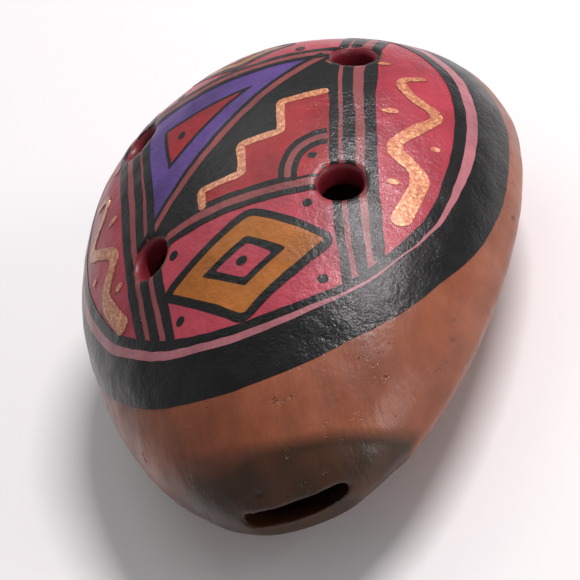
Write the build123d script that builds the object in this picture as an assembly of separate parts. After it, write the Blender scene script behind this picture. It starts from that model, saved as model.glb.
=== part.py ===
from build123d import *
import os
from math import atan2, cos, degrees, hypot, pi, radians, sqrt, tan

# Painted clay ocarina of the hollow-egg type, in millimetres.
# Working frame: the seam plane of the two pressed clay halves is z = 0, the egg's centre is x = y = 0,
# the mouthpiece is at -Y and the wide far end at +Y. place() moves it onto its resting plane at the end.

# Body: an egg in plan, domed above the seam and shallower below it.
HALF_LENGTH = 45.0        # half the length of the whole egg, before the nose is flattened
HALF_WIDTH = 34.3
DOME_HEIGHT = 22.6
BELLY_DEPTH = 13.3
EGG_SHIFT = 15.4          # how far the widest section lies towards the far end
WALL = 4.5
SLIP = 0.5                # slip clay that bonds the two halves along the seam
REST_TRIM = 0.6           # clay rubbed off the belly where it rests
NOSE_CUT = 43.1           # distance from centre to the flattened nose at the seam
NOSE_LEAN = 14.9          # degrees that the nose face leans back towards its lower edge
PROFILE_STEPS = 16

# Windway, voicing window and tone holes.
SLOT_WIDTH = 14.4
SLOT_HEIGHT = 2.4
SLOT_Z = 2.3              # centre of the mouth slot above the seam, at the nose
WINDWAY_DROP = 21.0       # degrees that the windway slopes down towards the window
WINDWAY_OVERRUN = 1.0     # how far the channel runs on past the near edge of the window
BLOCK_START = -36.0       # the nose is solid shell clay from the mouth slot to here
BLOCK_CLEARANCE = 4.0     # the blocks are open under the channel, where the belly wall is its floor
WINDOW_WIDTH = 11.0
WINDOW_NEAR = -27.5
WINDOW_FAR = -21.0        # tip of the labium
LABIUM_TIP_Z = -6.3
BEVEL_ANGLE = 33.0
HOLE_RADIUS = 3.1
FINGER_HOLES = [(14.4, -2.5), (17.1, 25.4)]   # one of each pair, mirrored across x = 0
THUMB_HOLE = (15.0, -6.0)                     # on the belly, mirrored across x = 0

# Paint coats: thin films on the dome. The gold line is a raised second layer.
COAT = 0.2
GOLD_RELIEF = 0.35
RIM_GAP = 0.25            # bare clay left round each tone hole

# Rings of the decoration: half ellipses about one centre, as (half width, near reach, far reach).
RING_CENTRE = 14.5
BAND_EDGE = (33.4, 43.9, 29.7)
PINK_EDGE = (31.1, 38.5, 28.2)
LINE_EDGE = (30.3, 37.5, 27.4)
FIELD_EDGE = (29.0, 36.2, 26.4)

# Columns of three lines that run from end to end of the field and splay slightly.
COLUMN_X = 15.9
COLUMN_SPLAY = 2.6        # degrees
LINE_WIDTH = 1.25
LINE_PITCH = 2.35

# Cross lines between the columns: centre of each double line, and its half gap.
NEAR_CROSS = -1.8
FAR_CROSS = 27.2
CROSS_GAP = 1.2
CROSS_WIDTH = 0.9

# Diamonds in the two end panels: centre y, half width, half length.
NEAR_DIAMOND = (-12.5, 11.9, 8.0)
FAR_DIAMOND = (34.4, 8.2, 4.4)
OUTLINE = 0.9
HEART_SCALE = 0.5
DOT_RADIUS = 0.75
CORNER_DOTS = (0.84, 0.76)  # their places, as shares of the diamond's half width and half length

# Middle panel: diagonal, triangle, stepped pyramid and quarter arcs.
DIAGONAL = ((-13.6, 2.6), (11.4, 25.6))
STRIPE_WIDTH = 1.3
LINE_SHIFT = 0.55          # how far the black line lies beyond the stripe
TRIANGLE_OUTLINE = 0.55    # black line round the red triangle
TRIANGLE_DOT = (-7.9, 17.0)
STEP_RUN = 6.3
STEP_FOOT = (-5.0, 2.7)
ARC_RADIUS = 7.6
ARC_BAND = 0.95
ARC_DOT = (-2.0, 3.0)       # from the corner the arcs are struck about
GOLD_WIDTH = 1.15

RED_TRIANGLE = ((-10.8, 20.4), (-9.8, 12.2), (2.4, 20.9))
ZIGZAG = ((25.2, 19.4), (22.6, 17.8), (27.2, 10.9), (21.0, 4.0), (24.6, -1.4), (20.9, -8.4))
ZIGZAG_WIDTH = 1.5
GOLD_DOTS = ((21.6, 11.2), (26.2, 4.2), (20.8, -2.6), (21.6, 22.4))

BIG = 200.0


# ---- body surfaces ----

def egg_ratio(y, half_length, shift):
    """Half width of the egg at y, as a share of its greatest half width."""
    h, w = half_length, shift
    return sqrt(max(h * h - y * y, 0.0) / (h * h - 2 * w * y + w * w))


def egg_edge(grow):
    """Right-hand outline of the egg in plan, grown outward by `grow`."""
    length = HALF_LENGTH + grow
    width = HALF_WIDTH + grow
    shift = EGG_SHIFT * length / HALF_LENGTH
    stations = [-length * cos(pi * i / PROFILE_STEPS) for i in range(PROFILE_STEPS + 1)]
    outline = [(width * egg_ratio(y, length, shift), y) for y in stations]
    return Spline(outline, tangents=[(1, 0), (-1, 0)])


def egg_face(grow):
    """Plan area inside the grown egg outline."""
    edge = egg_edge(grow)
    return make_face(edge + mirror(edge, Plane.YZ))


def egg_half(grow, side):
    """Half egg, grown outward by `grow`: the dome (side 1) or the belly (side -1), off the slip layer."""
    height = (DOME_HEIGHT if side > 0 else BELLY_DEPTH) - SLIP / 2
    edge = egg_edge(grow)
    profile = make_face(edge + Line(edge @ 1, edge @ 0))
    lower = revolve(profile, Axis.Y, revolution_arc=180)
    turned = Rot(0, 180, 0) * lower if side > 0 else lower
    return Pos(0, 0, side * SLIP / 2) * scale(turned, by=(1, 1, (height + grow) / (HALF_WIDTH + grow)))


def slab(low, high):
    """Everything from z = low to z = high."""
    return Pos(0, 0, (low + high) / 2) * Box(BIG, BIG, high - low)


def between(low, high):
    """Everything from y = low to y = high."""
    return Pos(0, (low + high) / 2, 0) * Box(BIG, high - low, BIG)


def nose_side():
    """Everything beyond the nose plane."""
    cutter = Pos(0, -BIG / 2, 0) * Box(BIG, BIG, BIG)
    return Pos(0, -NOSE_CUT, 0) * Rot(NOSE_LEAN, 0, 0) * cutter


def chamber(side):
    """Air space inside the clay, ending short of the solid nose."""
    return egg_half(-WALL, side) & between(BLOCK_START, BIG / 2)


def skin(inner, outer):
    """Layer over the dome between two distances from the clay."""
    return egg_half(outer, 1) - egg_half(inner, 1) - nose_side()


# ---- openings in the clay ----

def windway(below=0.0):
    """Flat air channel from the mouth slot down to the near edge of the window, deepened by `below`."""
    length = (HALF_LENGTH + WINDOW_NEAR + WINDWAY_OVERRUN) / cos(radians(WINDWAY_DROP))
    lead_in = 4
    middle = Pos(0, (length - lead_in) / 2, -below / 2)
    channel = middle * Box(SLOT_WIDTH, length + lead_in, SLOT_HEIGHT + below)
    return Pos(0, -HALF_LENGTH, SLOT_Z) * Rot(-WINDWAY_DROP, 0, 0) * channel


def window():
    """Voicing window through the belly, with the labium bevelled from outside."""
    depth = BELLY_DEPTH + 2
    bevel_end = WINDOW_FAR + (depth + LABIUM_TIP_Z) / tan(radians(BEVEL_ANGLE))
    outline = [(WINDOW_NEAR, LABIUM_TIP_Z + 3), (WINDOW_NEAR, -depth), (bevel_end, -depth),
               (WINDOW_FAR, LABIUM_TIP_Z), (WINDOW_FAR, LABIUM_TIP_Z + 3)]
    face = Plane.YZ * Polygon(*outline, align=None)
    return extrude(face, amount=WINDOW_WIDTH / 2, both=True)


def tone_hole(x, y, radius, up):
    height = BIG / 4
    return Pos(x, y, height / 2 if up else -height / 2) * Cylinder(radius, height)


def finger_holes(radius):
    holes = [tone_hole(side * x, y, radius, True) for x, y in FINGER_HOLES for side in (-1, 1)]
    return Part() + holes


def thumb_holes():
    x, y = THUMB_HOLE
    return Part() + [tone_hole(side * x, y, HOLE_RADIUS, False) for side in (-1, 1)]


# ---- clay pieces ----

def upper_shell():
    wall = egg_half(0, 1) - chamber(1) - nose_side()
    return wall - windway() - finger_holes(HOLE_RADIUS)


def lower_shell():
    wall = egg_half(0, -1) - chamber(-1) - nose_side()
    return wall - slab(-BIG, -BELLY_DEPTH + REST_TRIM) - windway() - window() - thumb_holes()


def slip_joint():
    """Thin bond between the rims and nose blocks of the two shells."""
    whole = extrude(egg_face(0), amount=SLIP / 2, both=True)
    air = extrude(egg_face(-WALL), amount=SLIP, both=True) & between(WINDOW_NEAR, BIG / 2)
    return whole - air - nose_side() - windway()


def nose_block(side):
    """Clay packed into the nose above (side 1) or below (side -1) the seam, round the windway."""
    return (chamber(side) & between(-BIG / 2, WINDOW_NEAR)) - windway(BLOCK_CLEARANCE)


# ---- plan outlines of the paint ----

def ring_face(edge):
    half_width, near, far = edge
    near_half = Ellipse(half_width, near) & (Pos(0, -BIG / 2) * Rectangle(BIG, BIG))
    far_half = Ellipse(half_width, far) & (Pos(0, BIG / 2) * Rectangle(BIG, BIG))
    return Pos(0, RING_CENTRE) * (near_half + far_half)


def strip(start, end, width):
    """Straight stroke from start to end."""
    length = hypot(end[0] - start[0], end[1] - start[1])
    angle = degrees(atan2(end[1] - start[1], end[0] - start[0]))
    middle = Pos((start[0] + end[0]) / 2, (start[1] + end[1]) / 2)
    return middle * Rot(0, 0, angle) * Rectangle(length, width)


def stroke(points, width):
    """Brush stroke of even width along the points, with rounded joints and ends."""
    runs = [strip(start, end, width) for start, end in zip(points, points[1:])]
    return Sketch() + runs + [Pos(*point) * Circle(width / 2) for point in points]


def polygon(*points):
    return make_face(Polyline(*points, close=True))


def column_strip(side, offset, width):
    """A stroke of one column, `offset` outward from the column's middle."""
    slope = tan(radians(COLUMN_SPLAY))
    middle = COLUMN_X + offset / cos(radians(COLUMN_SPLAY))
    foot = side * (middle - slope * BIG / 2)
    head = side * (middle + slope * BIG / 2)
    return strip((foot, -BIG / 2), (head, BIG / 2), width)


def column_lines(side):
    return Sketch() + [column_strip(side, i * LINE_PITCH, LINE_WIDTH) for i in (-1, 0, 1)]


def column_area(side):
    return column_strip(side, 0, 2 * LINE_PITCH + LINE_WIDTH)


def outside_column(side):
    reach = 2 * BIG
    return column_strip(side, LINE_PITCH + LINE_WIDTH / 2 + reach / 2, reach)


def cross_lines(y):
    width = 2 * COLUMN_X
    return Sketch() + [Pos(0, y + s * CROSS_GAP) * Rectangle(width * 2, CROSS_WIDTH) for s in (-1, 1)]


def cross_area(y):
    return Pos(0, y) * Rectangle(4 * COLUMN_X, 2 * CROSS_GAP + CROSS_WIDTH)


def panel(low, high):
    """Strip of the field between the two columns, from y = low to high."""
    area = ring_face(FIELD_EDGE) & (Pos(0, (low + high) / 2) * Rectangle(BIG, high - low))
    for side in (-1, 1):
        area = area - column_area(side) - outside_column(side)
    return area


def diamond(spec, share, grow):
    """Diamond of the given share of its full size, with each side moved out by `grow`."""
    y, half_width, half_length = spec
    a, b = half_width * share, half_length * share
    stretch = 1 + grow * hypot(a, b) / (a * b)
    a, b = a * stretch, b * stretch
    return polygon((a, y), (0, y + b), (-a, y), (0, y - b))


def corner_dots(spec):
    y, half_width, half_length = spec
    across = CORNER_DOTS[0] * half_width
    along = CORNER_DOTS[1] * half_length
    spots = [(sx * across, y + sy * along) for sx in (-1, 1) for sy in (-1, 1)]
    return Sketch() + [Pos(*spot) * Circle(DOT_RADIUS) for spot in spots]


def grown_triangle(points, margin):
    return offset(polygon(*points), amount=margin, kind=Kind.INTERSECTION)


# ---- decoration, as named plan areas ----

def diamond_panel(spec, low, high):
    """Areas of one end panel: ground, ochre diamond, black outlines and pink heart."""
    area = panel(low, high)
    ochre = diamond(spec, 1, -OUTLINE) & area
    heart_line = diamond(spec, HEART_SCALE, 0)
    heart = diamond(spec, HEART_SCALE, -OUTLINE)
    dot = Pos(0, spec[0]) * Circle(DOT_RADIUS)
    dots = corner_dots(spec) & area
    frame_line = (diamond(spec, 1, 0) & area) - ochre
    return {"ground": area - diamond(spec, 1, 0) - dots, "ochre": ochre - heart_line,
            "black": frame_line + (heart_line - heart) + dot + dots, "heart": heart - dot}


def stepped_outline():
    """Corner points of the pyramid's staircase, from its foot to the right column."""
    x, y = STEP_FOOT
    points = [(x, NEAR_CROSS), (x, y)]
    for _ in range(2):
        x = x + STEP_RUN
        points = points + [(x, y), (x, y + STEP_RUN)]
        y = y + STEP_RUN
    return points + [(COLUMN_X, y)]


def middle_panel():
    area = panel(NEAR_CROSS + CROSS_GAP + CROSS_WIDTH / 2, FAR_CROSS - CROSS_GAP - CROSS_WIDTH / 2)
    (x0, y0), (x1, y1) = DIAGONAL
    slope = (y1 - y0) / (x1 - x0)
    above = polygon((-BIG, y0 + slope * (-BIG - x0)), (BIG, y0 + slope * (BIG - x0)), (-BIG, BIG))
    stripe = strip((-BIG, y0 + slope * (-BIG - x0)), (BIG, y0 + slope * (BIG - x0)), STRIPE_WIDTH)
    line = Pos(-LINE_SHIFT, LINE_SHIFT + STRIPE_WIDTH / 2) * stripe - stripe
    triangle = polygon(*RED_TRIANGLE)
    triangle_line = grown_triangle(RED_TRIANGLE, TRIANGLE_OUTLINE) - triangle
    triangle_dot = Pos(*TRIANGLE_DOT) * Circle(DOT_RADIUS)
    upper = (above & area) - stripe - line
    lower = area - above - stripe
    steps = stepped_outline()
    pyramid = polygon(*steps, (COLUMN_X * 2, steps[-1][1]), (COLUMN_X * 2, NEAR_CROSS)) & lower
    corner = Pos(COLUMN_X - LINE_PITCH, NEAR_CROSS + CROSS_GAP)
    arcs = [(corner * Circle(ARC_RADIUS - i * ARC_BAND)) & lower for i in range(4)]
    corner_dot = corner * Pos(*ARC_DOT) * Circle(DOT_RADIUS)
    arc_black = (arcs[0] - arcs[1]) + (arcs[2] - arcs[3]) + corner_dot
    return {"purple": upper - triangle - triangle_line, "red": triangle - triangle_dot,
            "triangle_line": triangle_line + triangle_dot, "stripe": stripe & area, "line": line & area,
            "step_field": lower - pyramid, "pyramid": pyramid - arcs[0], "arc_black": arc_black,
            "arc_stripe": arcs[1] - arcs[2], "corner": arcs[3] - corner_dot}


def zigzag(side):
    dots = [Pos(side * x, y) * Circle(DOT_RADIUS) for x, y in GOLD_DOTS]
    return stroke([(side * x, y) for x, y in ZIGZAG], ZIGZAG_WIDTH) + dots


def step_edging():
    return stroke(stepped_outline(), GOLD_WIDTH) & panel(NEAR_CROSS + CROSS_GAP, FAR_CROSS)


def coats():
    """Plan area of every coat of the first layer, by node name. No two areas overlap."""
    field = ring_face(FIELD_EDGE)
    columns = column_area(-1) + column_area(1)
    aisle = field - columns - outside_column(-1) - outside_column(1)
    lines = column_lines(-1) + column_lines(1)
    near = diamond_panel(NEAR_DIAMOND, -BIG / 2, NEAR_CROSS - CROSS_GAP - CROSS_WIDTH / 2)
    far = diamond_panel(FAR_DIAMOND, FAR_CROSS + CROSS_GAP + CROSS_WIDTH / 2, BIG / 2)
    mid = middle_panel()
    crossing = cross_area(NEAR_CROSS) + cross_area(FAR_CROSS)
    cross_black = (cross_lines(NEAR_CROSS) + cross_lines(FAR_CROSS)) & aisle
    return {
        "black_band": ring_face(BAND_EDGE) - ring_face(PINK_EDGE),
        "pink_ring": ring_face(PINK_EDGE) - ring_face(LINE_EDGE),
        "black_ring_line": ring_face(LINE_EDGE) - field,
        "left_crimson_panel": field & outside_column(-1),
        "right_crimson_panel": field & outside_column(1),
        "black_column_lines": lines & field,
        "pink_column_stripes": (columns & field) - lines,
        "black_cross_lines": cross_black,
        "pink_cross_stripes": (crossing & aisle) - cross_black,
        "near_panel_ground": near["ground"],
        "near_ochre_diamond": near["ochre"],
        "near_diamond_outlines": near["black"],
        "near_diamond_heart": near["heart"],
        "far_panel_ground": far["ground"],
        "far_ochre_diamond": far["ochre"],
        "far_diamond_outlines": far["black"],
        "far_diamond_heart": far["heart"],
        "purple_triangle": mid["purple"],
        "red_triangle": mid["red"],
        "red_triangle_outline": mid["triangle_line"],
        "diagonal_stripe": mid["stripe"],
        "diagonal_line": mid["line"],
        "black_step_field": mid["step_field"],
        "crimson_step_pyramid": mid["pyramid"],
        "black_corner_arcs": mid["arc_black"],
        "pink_corner_arc": mid["arc_stripe"],
        "crimson_corner": mid["corner"],
    }


def gold_reliefs():
    return {"left_gold_zigzag": zigzag(-1), "right_gold_zigzag": zigzag(1), "gold_step_edging": step_edging()}


def film(area, layer):
    return layer & extrude(area, amount=BIG / 4)


# ---- output ----

def place(shape):
    """Move from the seam frame to the resting frame, with the origin under the middle of the body."""
    return Pos(0, (NOSE_TIP - HALF_LENGTH) / 2, BELLY_DEPTH - REST_TRIM) * shape


def small_faces_first(shape):
    """The same single solid, with its faces listed from small to large."""
    return Solid(Shell(sorted(shape.faces(), key=lambda face: face.area)))


def save(name, shape):
    export_step(place(shape), os.path.join("parts", name + ".step"))


os.makedirs("parts", exist_ok=True)

body = {"upper_shell": upper_shell(), "lower_shell": lower_shell(), "slip_joint": slip_joint(),
        "windway_roof_block": nose_block(1), "windway_floor_block": nose_block(-1)}
NOSE_TIP = -min(shape.bounding_box().min.Y for shape in body.values())
for name, shape in body.items():
    save(name, small_faces_first(shape))

rims = finger_holes(HOLE_RADIUS + RIM_GAP)
paint_skin = skin(0, COAT) - rims
gold_skin = skin(COAT, COAT + GOLD_RELIEF) - rims
for name, area in coats().items():
    save(name, film(area, paint_skin))
for name, area in gold_reliefs().items():
    save(name, film(area, gold_skin))
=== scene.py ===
import math

import bmesh
import bpy
import numpy as np
from mathutils import Matrix, Vector, noise
from mathutils.bvhtree import BVHTree
from mathutils.geometry import delaunay_2d_cdt
from mathutils.kdtree import KDTree


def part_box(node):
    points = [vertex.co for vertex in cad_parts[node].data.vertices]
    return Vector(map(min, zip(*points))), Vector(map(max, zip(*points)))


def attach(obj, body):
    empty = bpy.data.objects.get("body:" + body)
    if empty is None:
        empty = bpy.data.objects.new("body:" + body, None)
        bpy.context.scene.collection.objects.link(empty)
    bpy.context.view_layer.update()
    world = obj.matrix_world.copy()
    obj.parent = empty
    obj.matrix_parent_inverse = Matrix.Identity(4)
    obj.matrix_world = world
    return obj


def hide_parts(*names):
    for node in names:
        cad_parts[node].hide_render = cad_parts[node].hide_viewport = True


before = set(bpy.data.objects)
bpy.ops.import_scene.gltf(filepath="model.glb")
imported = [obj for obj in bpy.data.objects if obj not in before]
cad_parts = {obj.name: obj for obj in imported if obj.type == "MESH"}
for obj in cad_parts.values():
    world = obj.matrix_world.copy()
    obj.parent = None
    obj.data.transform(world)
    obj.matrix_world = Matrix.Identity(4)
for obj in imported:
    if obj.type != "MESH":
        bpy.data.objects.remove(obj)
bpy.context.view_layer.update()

# ---------------------------------------------------------------- sizes, in millimetres
# Working frame: the seam plane is z = 0 and the egg's centre is x = y = 0, the mouthpiece at -Y.
MM = 0.001
upper_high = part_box("upper_shell")[1]
lower_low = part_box("lower_shell")[0]
slip_low, slip_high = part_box("slip_joint")
EGG_HALF = 45.0                  # half the egg's length, before the nose is cut
REST_TRIM = 0.6                  # cut off the belly for the resting flat
SEAM_Z = (slip_low[2] + slip_high[2]) / 2 / MM
CENTRE_Y = upper_high[1] / MM - EGG_HALF
HALF_WIDTH = upper_high[0] / MM
DOME = upper_high[2] / MM - SEAM_Z
BELLY = SEAM_Z - lower_low[2] / MM + REST_TRIM
SLIP = (slip_high[2] - slip_low[2]) / MM
WALL = 4.5
PLAN_SHIFT = 15.4                # how far the widest place lies towards the far end
DOME_SHIFT = 17.0
DOME_POWER = 1.83
BELLY_POWER = 1.75
CROWN_SOFTNESS = 0.3

NOSE_CUT = 43.1                  # from the centre to the nose plane at the seam
NOSE_LEAN = 14.9                 # degrees
SLOT = (16.0, 2.4, 2.15)         # width, height, centre above the seam
SLOT_X = -0.5
LIP_DROP = 0.3                   # from the upper lip to the ends of the bowed lower lip
WINDWAY_DROP = 21.0              # degrees
CHIP = (7.5, -EGG_HALF + 0.5, 2.2)      # middle of the chip at the slot's right end
CHIP_SIZE = (1.1, 4.0, 2.4)
WINDOW = (11.0, -27.5, -21.0, -6.3)     # width, near edge, far edge, height of the bevel's tip
BEVEL = 33.0                     # degrees
HOLES = [(14.4, -2.5), (-14.5, -2.8), (17.2, 25.6), (-16.8, 25.0)]
THUMBS = [(15.0, -6.0), (-15.0, -6.0)]
THUMB_LEAN = 0.12
HOLE_R = 3.0
HOLE_PROFILE = [(-9, -0.15), (-1.1, 0), (-0.4, 0.22), (0.1, 0.75), (1.5, 2.2)]     # height, added radius
VOXEL = 0.45
FAR_AWAY = 99.0


# ---------------------------------------------------------------- body surface

def egg_ratio(y, shift, half=EGG_HALF):
    """Share of the greatest half width at y."""
    y = np.clip(y, -half, half)
    return np.sqrt((half * half - y * y) / (half * half - 2 * shift * y + shift * shift))


def rise(u, power):
    """Share of the section's height at share u of its half width, without a ridge along the crown."""
    e = CROWN_SOFTNESS
    soft = ((u * u + e * e) ** (power / 2) - e ** power) / ((1 + e * e) ** (power / 2) - e ** power)
    return np.clip(1 - soft, 0, 1) ** (1 / power)


def dome_z(x, y):
    """Height of the smooth dome above the seam at plan point x, y."""
    width = HALF_WIDTH * egg_ratio(y, PLAN_SHIFT)
    u = np.clip(np.abs(x) / np.maximum(width, 1e-6), 0, 1)
    return DOME * egg_ratio(y, DOME_SHIFT) * rise(u, DOME_POWER)


def dome_normal(x, y):
    """Normal of the smooth dome at plan point x, y."""
    step = 0.05
    gx = (dome_z(x + step, y) - dome_z(x - step, y)) / (2 * step)
    gy = (dome_z(x, y + step) - dome_z(x, y - step)) / (2 * step)
    return Vector((-float(gx), -float(gy), 1)).normalized()


def egg_mesh(name, grow, stations, around):
    """Closed egg, grown outward by `grow`, as a mesh in millimetres."""
    half = EGG_HALF + grow
    scale = half / EGG_HALF
    verts = [(0, -half, 0)]
    for i in range(1, stations):
        y = -half * math.cos(math.pi * i / stations)
        plan = float(egg_ratio(y, PLAN_SHIFT * scale, half)) * (HALF_WIDTH + grow)
        top = float(egg_ratio(y, DOME_SHIFT * scale, half)) * (DOME + grow)
        low = float(egg_ratio(y, PLAN_SHIFT * scale, half)) * (BELLY + grow)
        for j in range(around):
            angle = 2 * math.pi * j / around
            u = math.cos(angle)
            power, height = (DOME_POWER, top) if math.sin(angle) >= 0 else (BELLY_POWER, -low)
            verts.append((plan * u, y, height * float(rise(abs(u), power))))
    verts.append((0, half, 0))
    last = len(verts) - 1
    faces = []
    for j in range(around):
        k = (j + 1) % around
        faces.append((0, 1 + j, 1 + k))
        faces.append((last, last - around + k, last - around + j))
        for i in range(stations - 2):
            a = 1 + i * around
            faces.append((a + j, a + around + j, a + around + k, a + k))
    mesh = bpy.data.meshes.new(name)
    mesh.from_pydata(verts, [], faces)
    mesh.update()
    return new_object(name, mesh)


def new_object(name, mesh):
    obj = bpy.data.objects.new(name, mesh)
    bpy.context.scene.collection.objects.link(obj)
    return obj


def from_bmesh(name, bm):
    bmesh.ops.recalc_face_normals(bm, faces=bm.faces)
    mesh = bpy.data.meshes.new(name)
    bm.to_mesh(mesh)
    bm.free()
    return new_object(name, mesh)


def box_cutter(name, size, matrix):
    bm = bmesh.new()
    bmesh.ops.create_cube(bm, size=1, matrix=matrix @ Matrix.Diagonal((*size, 1)))
    return from_bmesh(name, bm)


def hole_cutter(name, centre, axis):
    """Round hole with a flared mouth, along the axis through the wall."""
    place = Matrix.Translation(centre) @ axis.to_track_quat("Z", "Y").to_matrix().to_4x4()
    count = 64
    bm = bmesh.new()
    loops = []
    for height, flare in HOLE_PROFILE:
        radius = HOLE_R + flare
        spots = [(radius * math.cos(2 * math.pi * k / count), radius * math.sin(2 * math.pi * k / count))
                 for k in range(count)]
        loops.append([bm.verts.new(place @ Vector((sx, sy, height))) for sx, sy in spots])
    for a, b in zip(loops, loops[1:]):
        for k in range(count):
            bm.faces.new((a[k], a[(k + 1) % count], b[(k + 1) % count], b[k]))
    bm.faces.new(loops[0][::-1])
    bm.faces.new(loops[-1])
    return from_bmesh(name, bm)


def prism(name, first, last):
    """Closed prism between two end outlines with equal numbers of points."""
    bm = bmesh.new()
    ends = [[bm.verts.new(spot) for spot in outline] for outline in (first, last)]
    bm.faces.new(ends[0])
    bm.faces.new(ends[1][::-1])
    for k in range(len(first)):
        n = (k + 1) % len(first)
        bm.faces.new((ends[0][k], ends[1][k], ends[1][n], ends[0][n]))
    return from_bmesh(name, bm)


def windway_cutter():
    """Windway with a straight upper lip and a bowed lower lip."""
    width, height, middle = SLOT
    length = (EGG_HALF + WINDOW[1] + 1) / math.cos(math.radians(WINDWAY_DROP))
    drop = Matrix.Rotation(math.radians(-WINDWAY_DROP), 4, "X")
    place = Matrix.Translation((SLOT_X, -EGG_HALF, middle)) @ drop
    outline = [(-width / 2, height / 2), (width / 2, height / 2)]
    for k in range(1, 12):
        share = 1 - k / 6
        bow = height * max(1 - share * share, 0) ** 0.8
        outline.append((share * width / 2, height / 2 - LIP_DROP - bow))
    return prism("windway_cut", *([place @ Vector((x, y, z)) for x, z in outline] for y in (-2, length)))


def window_cutter():
    """Voicing window in the belly, with a bevel that rises to the far edge's tip."""
    width, near, far, tip = WINDOW
    depth = BELLY + 2
    end = far + (depth + tip) / math.tan(math.radians(BEVEL))
    outline = [(near, tip + 3), (near, -depth), (end, -depth), (far, tip), (far, tip + 3)]
    return prism("window_cut", *([(x, y, z) for y, z in outline] for x in (-width / 2, width / 2)))


def carved_body():
    """The whole clay body with its hollow and openings, before it is parted into its pieces."""
    body = egg_mesh("body", 0, 150, 200)
    lean = Matrix.Translation((0, -NOSE_CUT, 0)) @ Matrix.Rotation(math.radians(NOSE_LEAN), 4, "X")
    chip = Matrix.Translation(CHIP) @ Matrix.Rotation(0.2, 4, "Y")
    cutters = [egg_mesh("chamber_cut", -WALL, 90, 120),
               box_cutter("nose_cut", (100, 40, 100), lean @ Matrix.Translation((0, -20, 0))),
               box_cutter("rest_cut", (100, 120, 10), Matrix.Translation((0, 0, -BELLY + REST_TRIM - 5))),
               windway_cutter(), window_cutter(), box_cutter("notch_cut", CHIP_SIZE, chip)]
    for n, (x, y) in enumerate(HOLES):
        centre = Vector((x, y, float(dome_z(x, y))))
        cutters.append(hole_cutter("hole_cut_%d" % n, centre, dome_normal(x, y)))
    for n, (x, y) in enumerate(THUMBS):
        depth = BELLY * float(egg_ratio(y, PLAN_SHIFT) * rise(abs(x) / HALF_WIDTH, BELLY_POWER))
        axis = Vector((math.copysign(THUMB_LEAN, x), 0, -1)).normalized()
        cutters.append(hole_cutter("thumb_cut_%d" % n, Vector((x, y, -depth)), axis))
    for cutter in cutters:
        carve = body.modifiers.new(cutter.name, "BOOLEAN")
        carve.operation = "DIFFERENCE"
        carve.solver = "EXACT"
        carve.object = cutter
    remesh = body.modifiers.new("voxels", "REMESH")
    remesh.mode = "VOXEL"
    remesh.voxel_size = VOXEL
    soften = body.modifiers.new("soften", "SMOOTH")
    soften.factor = 0.5
    soften.iterations = 5
    mesh = bpy.data.meshes.new_from_object(body.evaluated_get(bpy.context.evaluated_depsgraph_get()))
    for cutter in cutters:
        bpy.data.objects.remove(cutter)
    bpy.data.objects.remove(body)
    return mesh


def clamp(value):
    return min(max(value, 0), 1)


NOSE_BACK = -28                  # no painted shade or crease beyond this y
NOT_NOSE = 9.0
NOSE_MIDDLE = (0.3, -2.2)        # x and z
NOSE_REACH = (21.0, 16.0)        # to the left and right
NOSE_HEIGHT = 10.9
NOSE_TILT = 0.10                 # how much lower it is for each millimetre to the right


def nose_share(p):
    """How far a point is inside the flattened nose darkened by painted shade, about 1 at its crease."""
    if p.y > NOSE_BACK:
        return NOT_NOSE
    rise_share = max(p.z - NOSE_MIDDLE[1], 0) / (NOSE_HEIGHT - NOSE_TILT * p.x)
    fade = 0.1 * max(p.y + 40, 0) * clamp(-p.z / 4)
    side_share = (p.x - NOSE_MIDDLE[0]) / NOSE_REACH[p.x > 0]
    return math.hypot(side_share, rise_share) + fade + 0.04 * noise.noise(p / 7.0)


SWELL_DEPTHS = (0.22, 0.10)      # slow and quick
PRESS_DEPTH = 0.05
CREASE_DEPTH = 0.28
DENT_DEPTH = 0.4
DENT = (-4.6, 5.0)               # x and z on the nose
DENT_REACH = (0.9, 0.45)


def undulate(mesh):
    """Hand-made unevenness: slow swells, small press marks, a creased nose."""
    count = len(mesh.vertices)
    co = np.empty(count * 3)
    no = np.empty(count * 3)
    mesh.vertices.foreach_get("co", co)
    mesh.vertex_normals.foreach_get("vector", no)
    co = co.reshape(-1, 3)
    no = no.reshape(-1, 3)
    slow, quick = SWELL_DEPTHS
    for i in range(count):
        p = Vector(co[i])
        swell = slow * noise.noise(p / 15.0) + quick * noise.noise(p / 6.0 + Vector((9, 0, 0)))
        press = PRESS_DEPTH * noise.noise(Vector((p.x / 2.6, p.y / 2.6, p.z / 1.8)))
        crease = CREASE_DEPTH * clamp((1.03 - nose_share(p)) / 0.10)
        across, up = ((a - b) / reach for a, b, reach in zip((p.x, p.z), DENT, DENT_REACH))
        dent = DENT_DEPTH * math.exp(-across ** 2 - up ** 2) if p.y < -40 else 0
        co[i] += no[i] * (swell + press - crease - dent)
    low = -BELLY + REST_TRIM
    flat = co[:, 2] < low + 0.35
    co[flat, 2] = np.maximum(co[flat, 2], low)
    mesh.vertices.foreach_set("co", co.ravel())
    mesh.update()


body_mesh = carved_body()
undulate(body_mesh)
body_faces = [tuple(p.vertices) for p in body_mesh.polygons]
body_tree = BVHTree.FromPolygons([v.co for v in body_mesh.vertices], body_faces)
normal_tree = KDTree(len(body_mesh.vertices))
for vertex in body_mesh.vertices:
    normal_tree.insert(vertex.co, vertex.index)
normal_tree.balance()
body_normals = [Vector(v.vector) for v in body_mesh.vertex_normals]


def smooth_normal(p):
    """Normal of the uneven body near a point, averaged over its nearest vertices."""
    total = Vector((0, 0, 0))
    for _, index, distance in normal_tree.find_n(p, 6):
        total += body_normals[index] / (0.05 + distance)
    return total.normalized()


# ---------------------------------------------------------------- materials

def node_material(name):
    material = bpy.data.materials.new(name)
    material.use_nodes = True
    tree = material.node_tree
    return material, tree, tree.nodes["Principled BSDF"]


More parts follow.
